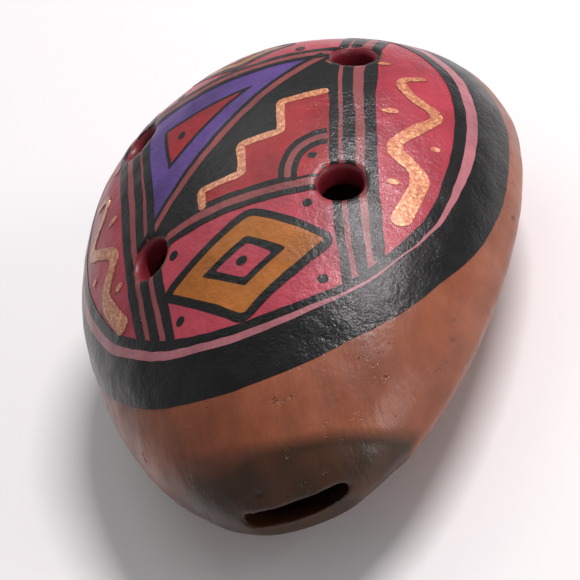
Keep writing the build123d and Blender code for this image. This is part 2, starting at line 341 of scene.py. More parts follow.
def add(tree, kind, **inputs):
    node = tree.nodes.new(kind)
    for key, value in inputs.items():
        node.inputs[key.replace("_", " ")].default_value = value
    return node


def object_noise(tree, scale, detail, roughness=0.5, stretch=(1, 1, 1), turned=(0, 0, 0)):
    """Noise fixed to the object, stretched and turned (degrees) as brush or burnishing strokes are."""
    coords = tree.nodes.new("ShaderNodeTexCoord")
    mapping = tree.nodes.new("ShaderNodeMapping")
    mapping.inputs["Rotation"].default_value = [math.radians(d) for d in turned]
    mapping.inputs["Scale"].default_value = stretch
    tex = add(tree, "ShaderNodeTexNoise", Scale=scale, Detail=detail, Roughness=roughness)
    tree.links.new(coords.outputs["Object"], mapping.inputs["Vector"])
    tree.links.new(mapping.outputs["Vector"], tex.inputs["Vector"])
    return tex.outputs["Fac"]


def ramp(tree, value, stops):
    node = tree.nodes.new("ShaderNodeValToRGB")
    elements = node.color_ramp.elements
    while len(elements) < len(stops):
        elements.new(0.5)
    for element, (position, color) in zip(elements, stops):
        element.position = position
        element.color = (*color, 1)
    tree.links.new(value, node.inputs["Fac"])
    return node.outputs["Color"]


def mix(tree, factor, first, second, blend="MIX"):
    node = tree.nodes.new("ShaderNodeMix")
    node.data_type = "RGBA"
    node.blend_type = blend
    for value, socket in ((factor, 0), (first, 6), (second, 7)):
        if isinstance(value, (int, float)):
            node.inputs[socket].default_value = value
        elif isinstance(value, tuple):
            node.inputs[socket].default_value = (*value, 1)
        else:
            tree.links.new(value, node.inputs[socket])
    return node.outputs[2]


def bump(tree, height, strength, distance, normal=None):
    node = add(tree, "ShaderNodeBump", Strength=strength, Distance=distance)
    tree.links.new(height, node.inputs["Height"])
    if normal is not None:
        tree.links.new(normal, node.inputs["Normal"])
    return node.outputs["Normal"]


def grey(*values):
    return [(position, (shade, shade, shade)) for position, shade in values]


def clay_material():
    """Burnished clay under thin varnish: cloudy, scraped, pitted, with painted shade darkening the nose."""
    material, tree, shader = node_material("burnished_clay")
    patches = object_noise(tree, 60, 6, 0.6)
    clay = [(0.3, (0.15, 0.038, 0.014)), (0.5, (0.21, 0.058, 0.024)), (0.7, (0.28, 0.088, 0.040))]
    base = ramp(tree, patches, clay)
    streaks = object_noise(tree, 420, 3, 0.6, (1, 0.3, 0.6), (0, 0, 25))
    base = mix(tree, 0.3, base, ramp(tree, streaks, grey((0.35, 0.5), (0.6, 1.0))), "MULTIPLY")
    pocks = object_noise(tree, 330, 4, 0.7)
    base = mix(tree, 0.75, base, ramp(tree, pocks, grey((0.29, 0.18), (0.35, 1.0))), "MULTIPLY")
    # The first colour is painted shade: dark brown over the nose where its downward facet is shaded. The
    # second is crimson paint in the finger holes.
    for name, color in (("nose_painted_shade", (0.030, 0.012, 0.003)), ("stain", (0.16, 0.008, 0.02))):
        mask = tree.nodes.new("ShaderNodeAttribute")
        mask.attribute_name = name
        base = mix(tree, mask.outputs["Fac"], base, color)
    tree.links.new(base, shader.inputs["Base Color"])
    rough = ramp(tree, object_noise(tree, 260, 3), grey((0.3, 0.34), (0.7, 0.52)))
    tree.links.new(rough, shader.inputs["Roughness"])
    normal = bump(tree, ramp(tree, pocks, grey((0.28, 0.0), (0.375, 1.0))), 0.55, 0.0003)
    scrape = object_noise(tree, 500, 4, 0.65, (1, 0.12, 0.35), (0, 0, 20))
    normal = bump(tree, scrape, 0.45, 0.00025, normal)
    normal = bump(tree, object_noise(tree, 1100, 4, 0.7), 0.5, 0.0001, normal)
    tree.links.new(normal, shader.inputs["Normal"])
    tree.links.new(normal, shader.inputs["Coat Normal"])
    shader.inputs["Specular IOR Level"].default_value = 0.3
    shader.inputs["Coat Weight"].default_value = 0.22
    shader.inputs["Coat Roughness"].default_value = 0.2
    return material


def paint_material(name, color, coat=0.28, glare=0.25):
    """Brushed pigment under clear varnish."""
    material, tree, shader = node_material(name)
    dark = tuple(c * 0.72 for c in color)
    light = tuple(min(c * 1.2 + 0.003, 1) for c in color)
    cloud = object_noise(tree, 130, 5, 0.6)
    base = ramp(tree, cloud, [(0.32, dark), (0.5, color), (0.7, light)])
    brush = object_noise(tree, 700, 3, 0.6, (1, 0.25, 1))
    base = mix(tree, 0.25, base, ramp(tree, brush, grey((0.35, 0.55), (0.62, 1.0))), "MULTIPLY")
    tree.links.new(base, shader.inputs["Base Color"])
    rough = ramp(tree, object_noise(tree, 300, 3), grey((0.3, 0.30), (0.7, 0.46)))
    tree.links.new(rough, shader.inputs["Roughness"])
    shader.inputs["Specular IOR Level"].default_value = glare
    shader.inputs["Coat Weight"].default_value = coat
    shader.inputs["Coat Roughness"].default_value = 0.14
    grain = object_noise(tree, 1300, 4, 0.7)
    normal = bump(tree, grain, 0.75, 0.00014)
    ripple = object_noise(tree, 300, 4, 0.6)
    normal = bump(tree, ripple, 0.5, 0.0003, normal)
    tree.links.new(normal, shader.inputs["Normal"])
    tree.links.new(normal, shader.inputs["Coat Normal"])
    return material


def gold_material():
    """Coarse metallic grains in a red-brown ground."""
    material, tree, shader = node_material("gold_paint")
    grains = object_noise(tree, 1900, 3, 0.7)
    gold = [(0.36, (0.34, 0.09, 0.045)), (0.52, (0.50, 0.19, 0.085)), (0.66, (0.80, 0.43, 0.20))]
    base = ramp(tree, grains, gold)
    tree.links.new(base, shader.inputs["Base Color"])
    shader.inputs["Metallic"].default_value = 0.2
    shader.inputs["Roughness"].default_value = 0.36
    shader.inputs["Coat Weight"].default_value = 0.4
    shader.inputs["Coat Roughness"].default_value = 0.15
    normal = bump(tree, grains, 0.7, 0.00012)
    tree.links.new(normal, shader.inputs["Normal"])
    return material


CLAY = clay_material()
BLACK = paint_material("black_paint", (0.0022, 0.0022, 0.0026), 0.3, 0.2)
CRIMSON = paint_material("crimson_paint", (0.29, 0.012, 0.018))
RASPBERRY = paint_material("raspberry_paint", (0.33, 0.026, 0.045))
ROSE = paint_material("rose_paint", (0.36, 0.040, 0.062))
PINK = paint_material("pink_paint", (0.36, 0.125, 0.145))
BROWN_PINK = paint_material("brown_pink_paint", (0.22, 0.048, 0.05))
PURPLE = paint_material("purple_paint", (0.088, 0.042, 0.205))
OCHRE = paint_material("ochre_paint", (0.34, 0.108, 0.012))
GOLD = gold_material()


# ---------------------------------------------------------------- clay pieces

def to_row(mesh):
    """From the working frame in millimetres to the row frame in metres."""
    mesh.transform(Matrix.Diagonal((MM, MM, MM, 1)) @ Matrix.Translation((0, CENTRE_Y, SEAM_Z)))


STAIN_REACH = 1.0                # beyond the hole's radius
STAIN_FADE = 0.35
STAIN_STRENGTH = 0.9
HOLE_FRAMES = [(Vector((x, y, float(dome_z(x, y)))), dome_normal(x, y)) for x, y in HOLES]


def hole_distance(p):
    """Distance from the axis of the nearest finger hole."""
    best = FAR_AWAY
    for centre, axis in HOLE_FRAMES:
        offset = p - centre
        along = offset.dot(axis)
        if along > -WALL - 1.5:
            best = min(best, (offset - along * axis).length)
    return best


def clay_attributes(mesh):
    """Painted shade darkening the clay round the nose, and crimson that ran into the finger holes."""
    nose_painted_shade = mesh.attributes.new("nose_painted_shade", "FLOAT", "POINT")
    stain = mesh.attributes.new("stain", "FLOAT", "POINT")
    dark = []
    red = []
    for v in mesh.vertices:
        p = v.co
        # Painted shade over the nose, inside its crease.
        nose = clamp((1.05 - nose_share(p)) / (0.12 - 0.008 * min(p.x, 0)))
        dark.append(min(nose * (0.96 + 0.14 * noise.noise(p / 4.0)), 1))
        ring = hole_distance(p) if p.z > 0 else FAR_AWAY
        red.append(clamp((HOLE_R + STAIN_REACH - ring) / STAIN_FADE) * STAIN_STRENGTH)
    nose_painted_shade.data.foreach_set("value", dark)
    stain.data.foreach_set("value", red)


def clay_piece(name, low, high, node):
    """The part of the body between two heights, closed, shaded as one smooth surface with its neighbours."""
    bm = bmesh.new()
    bm.from_mesh(body_mesh)
    for height, up in ((low, -1), (high, 1)):
        geometry = bm.verts[:] + bm.edges[:] + bm.faces[:]
        cut = bmesh.ops.bisect_plane(bm, geom=geometry, dist=1e-4, plane_co=(0, 0, height),
                                     plane_no=(0, 0, up), clear_outer=True)["geom_cut"]
        rim = [e for e in cut if isinstance(e, bmesh.types.BMEdge)]
        bmesh.ops.triangle_fill(bm, edges=rim, use_beauty=True)
    bmesh.ops.recalc_face_normals(bm, faces=bm.faces)
    mesh = bpy.data.meshes.new(name)
    bm.to_mesh(mesh)
    bm.free()
    normals = [smooth_normal(v.co) for v in mesh.vertices]
    clay_attributes(mesh)
    to_row(mesh)
    mesh.shade_smooth()
    mesh.normals_split_custom_set_from_vertices(normals)
    mesh.materials.clear()
    mesh.materials.append(CLAY)
    piece = new_object(name, mesh)
    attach(piece, "root")
    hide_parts(node)


clay_piece("clay_dome", SLIP / 2, EGG_HALF, "upper_shell")
clay_piece("clay_belly", -EGG_HALF, -SLIP / 2, "lower_shell")
clay_piece("clay_seam", -SLIP / 2, SLIP / 2, "slip_joint")
for block in ("windway_roof_block", "windway_floor_block"):
    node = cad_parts[block]
    node.data.materials.clear()
    node.data.materials.append(CLAY)


# ---------------------------------------------------------------- plan outlines

RING_CENTRE = 14.5
BAND_EDGE = (33.8, 44.9, 29.9)   # half width, reach to the near end, reach to the far end
PINK_EDGE = (31.1, 38.5, 28.2)
LINE_EDGE = (30.0, 37.4, 27.4)
FIELD_EDGE = (28.8, 36.2, 26.4)
BAND_FOOT = 3.2                  # least height of the band's lower edge above the seam
STEP_IN = 0.9995
SWELL_ANGLE = math.radians(311)
SWELL_SPREAD = 0.42
SWELL = {PINK_EDGE: 0.004, LINE_EDGE: 0.031, FIELD_EDGE: 0.034}
COLUMN_X = 15.9
COLUMN_SPLAY = 2.6               # degrees
LINE_PITCH = 2.4
LINE_WIDTH = 1.5
LINE_FAN = 0.006                 # how the lines of a column spread towards the far end
NEAR_CROSS = -1.8
FAR_CROSS = 27.2
CROSS_GAP = 1.15
CROSS_WIDTH = 1.05
CROSS_BOW = 0.15
BIG = 200.0


def sample_ring(edge, count=360):
    """Points of a ring's edge, drawn outward by its swell at the near right."""
    half_width, near, far = edge
    points = []
    for k in range(count):
        angle = 2 * math.pi * k / count
        reach = far if math.sin(angle) > 0 else near
        share = 1 + SWELL.get(edge, 0) * math.exp(-((angle - SWELL_ANGLE) / SWELL_SPREAD) ** 2)
        points.append((half_width * share * math.cos(angle), RING_CENTRE + share * reach * math.sin(angle)))
    return points


def clip(points, origin, direction):
    """Keep the part of a convex outline on the left of a directed line."""
    ox, oy = origin
    dx, dy = direction
    side = [dx * (y - oy) - dy * (x - ox) for x, y in points]
    kept = []
    for k, (p, s) in enumerate(zip(points, side)):
        q, t = points[k - 1], side[k - 1]
        if (s >= 0) != (t >= 0):
            f = t / (t - s)
            kept.append((q[0] + f * (p[0] - q[0]), q[1] + f * (p[1] - q[1])))
        if s >= 0:
            kept.append(p)
    return kept


def column_x(y, offset):
    """Distance from the middle to a column's line, given the line's offset from the column's middle."""
    fan = abs(offset) * LINE_FAN * (y + 10)
    return COLUMN_X + offset + fan + math.tan(math.radians(COLUMN_SPLAY)) * y


def beyond_column(points, side, offset, outward):
    """Clip at one column: keep what is outward of it, or what is between the columns."""
    foot = (side * column_x(-BIG, offset), -BIG)
    rising = (side * (column_x(BIG, offset) - column_x(-BIG, offset)), 2 * BIG)
    if (side > 0) == outward:
        rising = (-rising[0], -rising[1])
    return clip(points, foot, rising)


def above(points, y):
    return clip(points, (0, y), (1, 0))


def below(points, y):
    return clip(points, (0, y), (-1, 0))


def middle_strip(low, high):
    """The painted field between the columns, from one y to another."""
    points = sample_ring(FIELD_EDGE)
    for side in (-1, 1):
        points = beyond_column(points, side, -LINE_PITCH, False)
    return below(above(points, low), high)


def resample(points, step, closed=True):
    """Even steps along an outline, keeping its corners."""
    ends = points[1:] + points[:1] if closed else points[1:]
    out = []
    for p, q in zip(points, ends):
        length = math.hypot(q[0] - p[0], q[1] - p[1])
        count = max(1, int(math.ceil(length / step)))
        out.extend((p[0] + (q[0] - p[0]) * k / count, p[1] + (q[1] - p[1]) * k / count) for k in range(count))
    if not closed:
        out.append(points[-1])
    return out


def soften_corners(points, radius, closed=True):
    """Round each corner by cutting it back and bending a short curve through it."""
    out = []
    count = len(points)
    for k, (x, y) in enumerate(points):
        if not closed and k in (0, count - 1):
            out.append((x, y))
            continue
        before, after = points[k - 1], points[(k + 1) % count]
        legs = []
        for bx, by in (before, after):
            length = math.hypot(bx - x, by - y)
            reach = min(radius, length * 0.45)
            legs.append((x + (bx - x) * reach / length, y + (by - y) * reach / length))
        for t in (0, 0.25, 0.5, 0.75, 1):
            a, b, c = (1 - t) ** 2, 2 * t * (1 - t), t * t
            out.append((a * legs[0][0] + b * x + c * legs[1][0], a * legs[0][1] + b * y + c * legs[1][1]))
    return out


STROKE_WOBBLE = 0.16             # share of the stroke's half width


def stroke_edges(points, width, closed, taper, seed):
    """Both edges of a brush stroke along the points, a little uneven in width."""
    path = resample(points, 0.4, closed)
    left, right = [], []
    count = len(path)
    for k, (x, y) in enumerate(path):
        ax, ay = path[k - 1] if closed or k else path[0]
        bx, by = path[(k + 1) % count] if closed or k < count - 1 else path[-1]
        length = math.hypot(bx - ax, by - ay) or 1
        nx, ny = -(by - ay) / length, (bx - ax) / length
        share = 1 - taper * (1 - k / max(count - 1, 1))
        half = width / 2 * share * (1 + STROKE_WOBBLE * noise.noise(Vector((x / 3.0, y / 3.0, seed))))
        left.append((x + nx * half, y + ny * half))
        right.append((x - nx * half, y - ny * half))
    return left, right


def round_end(centre, start, end):
    """Points of the half circle from start to end about centre."""
    cx, cy = centre
    radius = math.hypot(start[0] - cx, start[1] - cy)
    first = math.atan2(start[1] - cy, start[0] - cx)
    return [(cx + radius * math.cos(first - math.pi * t), cy + radius * math.sin(first - math.pi * t))
            for t in (0.17, 0.33, 0.5, 0.67, 0.83)]


def dot(x, y, radius, squash=1.0):
    """Outline of a round dot, or of an oval one."""
    return [(x + radius * math.cos(a * math.pi / 12), y + squash * radius * math.sin(a * math.pi / 12))
            for a in range(24)]


SLOW_DRIFT = 0.42
QUICK_DRIFT = 0.10


def hand(point):
    """Unsteady hand: one smooth drift for every outline, so that neighbours still meet."""
    x, y = point
    slow = Vector((x / 11.0, y / 11.0, 3.0))
    quick = Vector((x / 2.4, y / 2.4, 7.0))
    dx, dy = (SLOW_DRIFT * noise.noise(slow + Vector((0, 0, lift)))
              + QUICK_DRIFT * noise.noise(quick + Vector((0, 0, lift))) for lift in (0, 20))
    return (x + dx, y + dy)


# ---------------------------------------------------------------- paint films

PAINT_HOLE = HOLE_R + 0.42       # radius left bare round a finger hole
HOLE_MARGIN = 5                  # a hole this near to an outline's box may cut its film
UNDER = 0.12                     # how deep a film's underside lies in the clay
EDGE_SOFT = (0.12, 0.3)          # least and greatest width of a film's soft edge
EDGE_LOW = 0.1                   # how much lower the film is at its edge, as a share
ROW_SHARE = 0.87                 # spacing of the rows of inner points, in grid steps
CLEAR_SHARE = 0.4                # inner points keep this far from an edge, in grid steps


def on_dome(points):
    """Points of the uneven dome and its normals at plan points."""
    xy = np.array(points)
    heights = dome_z(xy[:, 0], xy[:, 1])
    spots, normals = [], []
    for (x, y), z in zip(points, heights):
        spot = body_tree.find_nearest(Vector((x, y, float(z))))[0]
        spots.append(spot)
        normals.append(smooth_normal(spot))
    return spots, normals


def in_outline(points, outline):
    """Which points lie inside a closed outline."""
    p = np.array(points)
    a = np.array(outline)
    b = np.roll(a, -1, axis=0)
    inside = np.zeros(len(p), bool)
    for (ax, ay), (bx, by) in zip(a, b):
        if ay == by:
            continue
        crosses = (ay > p[:, 1]) != (by > p[:, 1])
        inside ^= crosses & (p[:, 0] < (bx - ax) * (p[:, 1] - ay) / (by - ay) + ax)
    return inside


def edge_distance(points, segments):
    """Distance from each point to the nearest of the segments."""
    p = np.array(points)[:, None, :]
    a = np.array([s[0] for s in segments])[None]
    b = np.array([s[1] for s in segments])[None]
    d = b - a
    t = np.clip(((p - a) * d).sum(2) / np.maximum((d * d).sum(2), 1e-12), 0, 1)
    return np.sqrt((((a + t[..., None] * d) - p) ** 2).sum(2)).min(1)


def hole_loop(centre, axis):
    """The edge of the paint round a finger hole, seen from above."""
    turned = axis.to_track_quat("Z", "Y")
    loop = []
    for k in range(48):
        angle = 2 * math.pi * k / 48
        spot = centre + turned @ Vector((PAINT_HOLE * math.cos(angle), PAINT_HOLE * math.sin(angle), 0))
        loop.append((spot.x, spot.y))
    return loop


HOLE_LOOPS = [hole_loop(centre, axis) for centre, axis in HOLE_FRAMES]


def plan_mesh(outline, grid, spots=None):
    """Triangles that fill an outline, open round the finger holes."""
    low = np.min(outline, axis=0)
    high = np.max(outline, axis=0)
    loops = [outline]
    for loop in HOLE_LOOPS:
        centre = np.mean(loop, axis=0)
        if np.all(centre > low - HOLE_MARGIN) and np.all(centre < high + HOLE_MARGIN):
            loops.append(loop)
    verts, edges = [], []
    for loop in loops:
        start = len(verts)
        verts.extend(Vector(p) for p in loop)
        edges.extend((start + k, start + (k + 1) % len(loop)) for k in range(len(loop)))
    if spots is None:
        xs = np.arange(low[0], high[0], grid)
        ys = np.arange(low[1], high[1], grid * ROW_SHARE)
        spots = [(x + (grid / 2 if j % 2 else 0), y) for j, y in enumerate(ys) for x in xs]
    if spots:
        clear = in_outline(spots, outline)
        for loop in loops[1:]:
            clear &= ~in_outline(spots, loop)
        spots = [s for s, ok in zip(spots, clear) if ok]
    if spots:
        reach = [edge_distance(spots, list(zip(loop, loop[1:] + loop[:1]))) for loop in loops]
        spots = [s for s, d in zip(spots, np.min(reach, axis=0)) if d > grid * CLEAR_SHARE]
    verts.extend(Vector(s) for s in spots)
    points, _, faces = delaunay_2d_cdt(verts, edges, [], 0, 1e-5, False)[:3]
    points = [tuple(p) for p in points]
    middles = [tuple(np.mean([points[i] for i in face], axis=0)) for face in faces]
    keep = in_outline(middles, outline)
    for loop in loops[1:]:
        keep &= ~in_outline(middles, loop)
    return points, [face for face, ok in zip(faces, keep) if ok]


def between(first, last, share):
    return (first[0] + share * (last[0] - first[0]), first[1] + share * (last[1] - first[1]))


def strip_mesh(inner, outer, rows):
    """Quads between two closed loops of equal length."""
    count = len(inner)
    points = []
    for r in range(rows + 1):
        points.extend(between(a, b, r / rows) for a, b in zip(inner, outer))
    faces = []
    for r in range(rows):
        for k in range(count):
            n = (k + 1) % count
            faces.append((r * count + k, (r + 1) * count + k, (r + 1) * count + n, r * count + n))
    return points, faces


def film(points, faces, height, relief=0.0):
    """Closed thin film on the dome: a top with soft edges, walls, and an underside just inside the clay."""
    used = sorted({i for face in faces for i in face})
    place = {old: new for new, old in enumerate(used)}
    points = [points[i] for i in used]
    faces = [tuple(place[i] for i in face) for face in faces]
    if sum(signed_area(points, face) for face in faces) < 0:
        faces = [face[::-1] for face in faces]
    sides = dict.fromkeys((face[k], face[(k + 1) % len(face)]) for face in faces for k in range(len(face)))
    rim = [pair for pair in sides if (pair[1], pair[0]) not in sides]
    spots, normals = on_dome(points)
    distance = edge_distance(points, [(points[a], points[b]) for a, b in rim])
    edge = min(EDGE_SOFT[1], max(EDGE_SOFT[0], float(distance.max())))
    swell = np.clip(distance / edge, 0, 1)
    swell = swell * swell * (3 - 2 * swell)
    top = []
    for p, spot, normal, s in zip(points, spots, normals, swell):
        grain = relief * noise.noise(Vector((p[0] / 0.55, p[1] / 0.55, 1.0)))
        top.append(spot + normal * (height * (1 - EDGE_LOW + EDGE_LOW * float(s)) + grain * float(s)))
    bottom = [spot - normal * UNDER for spot, normal in zip(spots, normals)]
    count = len(top)
    shell = list(faces) + [tuple(i + count for i in face[::-1]) for face in faces]
    shell += [(b, a, a + count, b + count) for a, b in rim]
    return top + bottom, shell, normals + [-n for n in normals]


def signed_area(points, face):
    """Twice the signed area of a face's first three corners, above zero when they run anticlockwise."""
    (ax, ay), (bx, by), (cx, cy) = (points[i] for i in face[:3])
    return (bx - ax) * (cy - ay) - (by - ay) * (cx - ax)


def fill(outline, height, grid=0.8, relief=0.0, step=0.45):
    """Film over the inside of an outline."""
    outline = [hand(p) for p in resample(outline, step)]
    return film(*plan_mesh(outline, grid), height, relief)


def brush(points, width, height, closed=False, taper=0.0, relief=0.0, seed=0.0):
    """Film along a brush stroke: a closed strip, or a line with round ends."""
    left, right = stroke_edges(points, width, closed, taper, seed)
    if closed:
        return film(*strip_mesh([hand(p) for p in left], [hand(p) for p in right], 6), height, relief)
    start, end = (between(left[k], right[k], 0.5) for k in (0, -1))
    outline = left + round_end(end, left[-1], right[-1]) + right[::-1] + round_end(start, right[0], left[0])
    rows = [between(l, r, share) for share in (0.25, 0.5, 0.75) for l, r in zip(left, right)]
    return film(*plan_mesh([hand(p) for p in outline], 0.3, [hand(p) for p in rows]), height, relief)


def on_body(point):
    """Draw a plan point in towards the ring centre until the dome there is high enough above the seam."""
    x, y = point
    while dome_z(x, y) < BAND_FOOT:
        x, y = x * STEP_IN, RING_CENTRE + (y - RING_CENTRE) * STEP_IN
    return (x, y)


def ring_film(inner, outer, rows, height):
    """Film between two ring edges."""
    loops = [[on_body(hand(p)) for p in sample_ring(edge, 480)] for edge in (inner, outer)]
    return film(*strip_mesh(*loops, rows), height)


def coat(name, material, slot, node, *films):
    """One paint coat as an object made of its films."""
    verts, faces, normals = [], [], []
    for film_verts, film_faces, film_normals in films:
        start = len(verts)
        verts.extend(film_verts)
        normals.extend(film_normals)
        faces.extend(tuple(i + start for i in face) for face in film_faces)
    mesh = bpy.data.meshes.new(name)
    mesh.from_pydata(verts, [], faces)
    mesh.update()
    to_row(mesh)
    mesh.shade_smooth()
    mesh.normals_split_custom_set_from_vertices(normals)
    mesh.materials.append(material)
    piece = new_object(name, mesh)
    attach(piece, "root")
    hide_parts(node)


# Heights of the layers above the clay, from the first coat to the raised gold and its grain.
GROUND = 0.03
SECOND = 0.055
THIRD = 0.08
LINE = 0.105
DOT = 0.13
GOLD_HEIGHT = 0.15
GOLD_RELIEF = 0.02


def rings():
    coat("band_paint", BLACK, "black_paint", "black_band", ring_film(PINK_EDGE, BAND_EDGE, 14, SECOND))
    coat("pink_ring_paint", PINK, "pink_paint", "pink_ring", ring_film(LINE_EDGE, PINK_EDGE, 5, THIRD))
    line = ring_film(FIELD_EDGE, LINE_EDGE, 5, LINE)
    coat("ring_line_paint", BLACK, "black_paint", "black_ring_line", line)


ZIGZAG = [(25.6, 19.3), (22.7, 18.3), (24.2, 14.4), (27.6, 10.9), (20.7, 3.9), (24.3, -1.4), (20.7, -9.0)]
# Right side, from above: x, y, radius, squash. The left side mirrors them.
GOLD_DOTS = [(21.6, 11.2, 0.95, 0.6), (26.1, 4.1, 0.5, 1.0), (20.7, -2.6, 0.75, 0.7), (21.3, 22.7, 0.8, 0.5)]


def side_panels():
    field = sample_ring(FIELD_EDGE)
    for side, word in ((-1, "left"), (1, "right")):
        ground = beyond_column(field, side, LINE_PITCH, True)
        coat(word + "_panel_paint", RASPBERRY, "crimson_paint", word + "_crimson_panel", fill(ground, GROUND))
        path = soften_corners([(side * x, y) for x, y in ZIGZAG], 2.2, False)
        films = [brush(path, 2.3, GOLD_HEIGHT, taper=0.6, relief=GOLD_RELIEF, seed=5 + side)]
        for x, y, radius, squash in GOLD_DOTS:
            films.append(fill(dot(side * x, y, radius, squash), DOT, 0.3, GOLD_RELIEF, 0.3))
        coat(word + "_zigzag_paint", GOLD, "gold_paint", word + "_gold_zigzag", *films)


def columns():
    """Two columns of three lines over a stripe. The right inner line is thinner and starts further out."""
    lines, stripes = [], []
    for side in (-1, 1):
        field = sample_ring(FIELD_EDGE)
        band = beyond_column(beyond_column(field, side, -LINE_PITCH, True), side, LINE_PITCH, False)
        stripes.append(fill(band, SECOND))
        for k in (-1, 0, 1):
            low, high = line_reach(side, k * LINE_PITCH)
            ends = [(side * column_x(y, k * LINE_PITCH), y) for y in (low - 0.5 * (side + 1), high)]
            width = LINE_WIDTH
            if side > 0 > k:
                ends[0] = (ends[0][0] + 0.4, ends[0][1])
                width -= 0.3
            lines.append(brush(ends, width, LINE, seed=k + 4 * side))
    coat("column_lines_paint", BLACK, "black_paint", "black_column_lines", *lines)
    coat("column_stripes_paint", BROWN_PINK, "brown_pink_paint", "pink_column_stripes", *stripes)


def line_reach(side, offset):
    """Where one column line meets the ring at the near and far ends."""
    half_width, near, far = FIELD_EDGE
    low = RING_CENTRE - near * math.sqrt(1 - (column_x(-14, offset) / half_width) ** 2)
    high = RING_CENTRE + far * math.sqrt(1 - (column_x(34, offset) / half_width) ** 2)
    return low - 0.2, high + 0.2


def cross_bands():
    stripes, lines = [], []
    for n, y in enumerate((NEAR_CROSS, FAR_CROSS)):
        stripes.append(fill(middle_strip(y - CROSS_GAP, y + CROSS_GAP), THIRD))
        for s in (-1, 1):
            reach = column_x(y, -LINE_PITCH)
            height = y + s * CROSS_GAP
            path = [(-reach, height), (0, height + CROSS_BOW), (reach, height)]
            lines.append(brush(path, CROSS_WIDTH, LINE, seed=10 + 2 * n + s))
    coat("cross_stripes_paint", BROWN_PINK, "pink_paint", "pink_cross_stripes", *stripes)
    coat("cross_lines_paint", BLACK, "black_paint", "black_cross_lines", *lines)


def diamond_panel(word, low, high, corners, centre, hearts, dots):
    """End panel: ground, ochre diamond with a black outline, a black and a pink diamond inside, and dots."""
    ground = middle_strip(low, high)
    coat(word + "_ground_paint", ROSE, "crimson_paint", word + "_panel_ground", fill(ground, GROUND))
    shape = soften_corners(corners, 1.5)
    coat(word + "_ochre_paint", OCHRE, "ochre_paint", word + "_ochre_diamond", fill(shape, SECOND))
    black_heart, pink_heart = (soften_corners(points, 0.5) for points in hearts)
    films = [brush(shape, 1.25, LINE - 0.01, closed=True, seed=2), fill(black_heart, THIRD, 0.5),
             fill(dot(*centre, 0.78), DOT, 0.35, step=0.25)]
    films += [fill(dot(x, y, 0.72), THIRD, 0.35, step=0.25) for x, y in dots]
    coat(word + "_outline_paint", BLACK, "black_paint", word + "_diamond_outlines", *films)
    coat(word + "_heart_paint", ROSE, "pink_paint", word + "_diamond_heart", fill(pink_heart, LINE, 0.5))


def end_panels():
    near = [(2.1, -4.3), (12.3, -12.0), (-0.9, -21.5), (-12.4, -11.4)]
    hearts = ([(1.1, -8.5), (6.0, -12.5), (-0.2, -16.7), (-6.1, -11.8)],
              [(1.0, -9.9), (4.1, -12.7), (-0.1, -15.4), (-3.9, -12.1)])
    dots = [(-10.2, -5.6), (9.8, -5.6), (10.0, -18.0), (-10.6, -16.5)]
    diamond_panel("near", -BIG, NEAR_CROSS, near, (0.0, -12.5), hearts, dots)
    far = [(0, 39.4), (8.6, 34.2), (0, 29.6), (-8.6, 34.2)]
    hearts = ([(0, 36.7), (4.3, 34.3), (0, 32.0), (-4.3, 34.3)],
              [(0, 35.8), (2.7, 34.3), (0, 32.8), (-2.7, 34.3)])
    dots = [(-9.6, 30.2), (9.6, 30.2), (8.4, 37.6), (-8.4, 37.6)]
    diamond_panel("far", FAR_CROSS, BIG, far, (0.0, 34.3), hearts, dots)


DIAGONAL = [(-13.6, 2.6), (11.6, 25.8)]
STEPS = [(-4.9, -0.4), (-5.0, 2.6), (1.2, 2.8), (1.2, 8.7), (7.3, 9.0), (7.5, 15.1), (13.6, 15.9)]
CORNER = (13.4, -0.7)
ARC_SHAPE = (0.92, 1.08)         # shares of an arc's radius, across and along
ARC_STEP = 0.015                 # each arc lies this much above the one outside it
ARCS = ((7.9, "black"), (6.9, "stripe"), (5.9, "black"), (4.9, "fill"))


def triangle_corner():
    """Upper left of the middle panel: purple triangle with a red one inside."""
    low, high = NEAR_CROSS + CROSS_GAP, FAR_CROSS - CROSS_GAP
    start, end = DIAGONAL
    run = (end[0] - start[0], end[1] - start[1])
    purple = clip(middle_strip(low, high), start, run)
    coat("purple_paint_coat", PURPLE, "purple_paint", "purple_triangle", fill(purple, SECOND))
    red = [(-10.7, 20.2), (-9.8, 12.4), (1.4, 20.9)]
    wide = [(-11.4, 20.8), (-10.3, 11.2), (3.4, 21.7)]
    films = [fill(soften_corners(wide, 0.5), THIRD, 0.5),
             fill(dot(-7.9, 17.2, 0.62, 1.25), DOT, 0.35, step=0.25)]
    coat("triangle_outline_paint", BLACK, "black_paint", "red_triangle_outline", *films)
    inside = fill(soften_corners(red, 0.3), LINE, 0.6)
    coat("red_triangle_paint", CRIMSON, "crimson_paint", "red_triangle", inside)


def diagonal():
    """Black line across the middle panel, with a stripe along its lower right side."""
    ends = [(-15.2, 1.0), (12.6, 26.8)]
    line = brush(ends, 0.75, LINE, seed=20)
    stripe = brush([(x + 0.62, y - 0.70) for x, y in ends], 1.25, LINE - 0.02, seed=21)
    coat("diagonal_line_paint", BLACK, "black_paint", "diagonal_line", line)
    coat("diagonal_stripe_paint", BROWN_PINK, "brown_pink_paint", "diagonal_stripe", stripe)


